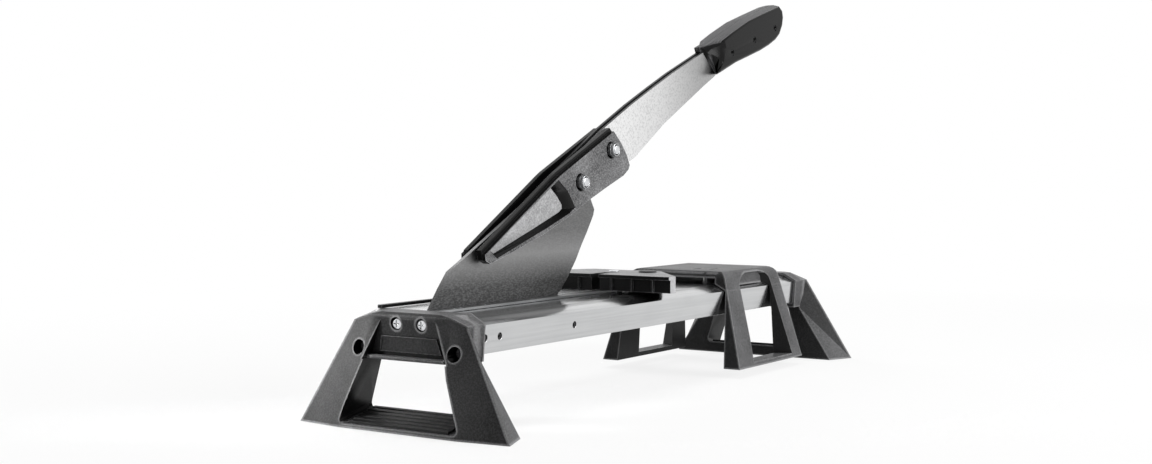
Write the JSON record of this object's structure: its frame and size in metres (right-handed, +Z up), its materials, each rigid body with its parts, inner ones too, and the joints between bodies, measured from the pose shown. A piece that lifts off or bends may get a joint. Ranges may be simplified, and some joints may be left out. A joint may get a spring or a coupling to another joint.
{
  "type": "laminate cutter",
  "caption": "Free-standing guillotine cutter for laminate planks: long hinged lever and blade, slotted aluminium beam on two moulded stands, swivelling fence and sliding plank bench.",
  "frame": {"origin": "centre of the bounding box in X and Y, on the surface that the cutter stands on", "axes": "+X along the beam from the front stand, at the blade's pivot, to the rear stand; +Z up; -Y is the near side with the lock nuts"},
  "size_m": [0.6576, 0.208, 0.3852],
  "materials": {
    "moulded_plastic": "grained moulding",
    "black_plastic": "satin moulding",
    "gloss_plastic": "glossy moulding",
    "rubber": "ribbed rubber",
    "aluminium": "satin extrusion and sheet",
    "ground_steel": "ground",
    "blade_steel": "dark brushed",
    "zinc": "bright zinc plate",
    "coated_casting": "speckled grey coat on a casting",
    "bush_metal": "sintered"
  },
  "bodies": {
    "base": {"front_stand": "moulded_plastic", "rear_stand": "moulded_plastic", "front_tread": "rubber", "rear_tread": "rubber", "front_pad": "rubber", "rear_pad": "rubber", "front_badge_plate": "moulded_plastic", "front_panel_screw_near": "zinc", "front_panel_screw_far": "zinc", "front_deep_screw_near": "zinc", "front_deep_screw_far": "zinc", "rear_panel_screw_near": "zinc", "rear_panel_screw_far": "zinc", "rear_deep_screw_near": "zinc", "rear_deep_screw_far": "zinc", "beam": "aluminium", "counter_blade": "ground_steel", "counter_blade_screw_1": "zinc", "counter_blade_screw_2": "zinc", "counter_blade_screw_3": "zinc", "counter_blade_screw_4": "zinc", "table_plate": "ground_steel", "table_plate_screw_1": "zinc", "table_plate_screw_2": "zinc", "support_rail": "black_plastic", "pivot_block_near": "black_plastic", "pivot_block_far": "black_plastic", "guide_block_near": "black_plastic", "guide_block_far": "black_plastic", "side_screw_near_1": "zinc", "side_screw_near_2": "zinc", "side_screw_near_3": "zinc", "side_screw_far_1": "zinc", "side_screw_far_2": "zinc", "side_screw_far_3": "zinc", "pivot_bolt": "zinc", "pivot_nut": "zinc", "pivot_bush_near": "bush_metal", "pivot_bush_far": "bush_metal", "fence_screw": "zinc"},
    "cutting_arm": {"blade": "blade_steel", "blade_rivet": "ground_steel", "lever_plate_near": "aluminium", "lever_plate_far": "aluminium", "lever_spacer": "black_plastic", "carrier_near": "coated_casting", "carrier_far": "coated_casting", "carrier_bolt_1": "zinc", "carrier_bolt_2": "zinc", "carrier_nut_1": "zinc", "carrier_nut_2": "zinc", "handle_shell_near": "gloss_plastic", "handle_shell_far": "gloss_plastic", "handle_screw_1": "zinc", "handle_screw_2": "zinc", "handle_screw_3": "zinc"},
    "swivel_fence": {"fence": "black_plastic", "fence_disc": "black_plastic"},
    "plank_bench": {"bench": "moulded_plastic"}
  },
  "joints": [
    {"name": "lever_hinge", "type": "hinge", "parent": "base", "child": "cutting_arm", "pos_m": [-0.26283, 0, 0.072], "axis": [0, -1, 0], "range_deg": [-19, 20]},
    {"name": "fence_swivel", "type": "hinge", "parent": "base", "child": "swivel_fence", "pos_m": [-0.01233, 0, 0.1], "axis": [0, 0, 1], "range_deg": [-3, 3]},
    {"name": "bench_slide", "type": "slide", "parent": "base", "child": "plank_bench", "axis": [1, 0, 0], "range_m": [-0.06, 0.025]}
  ]
}
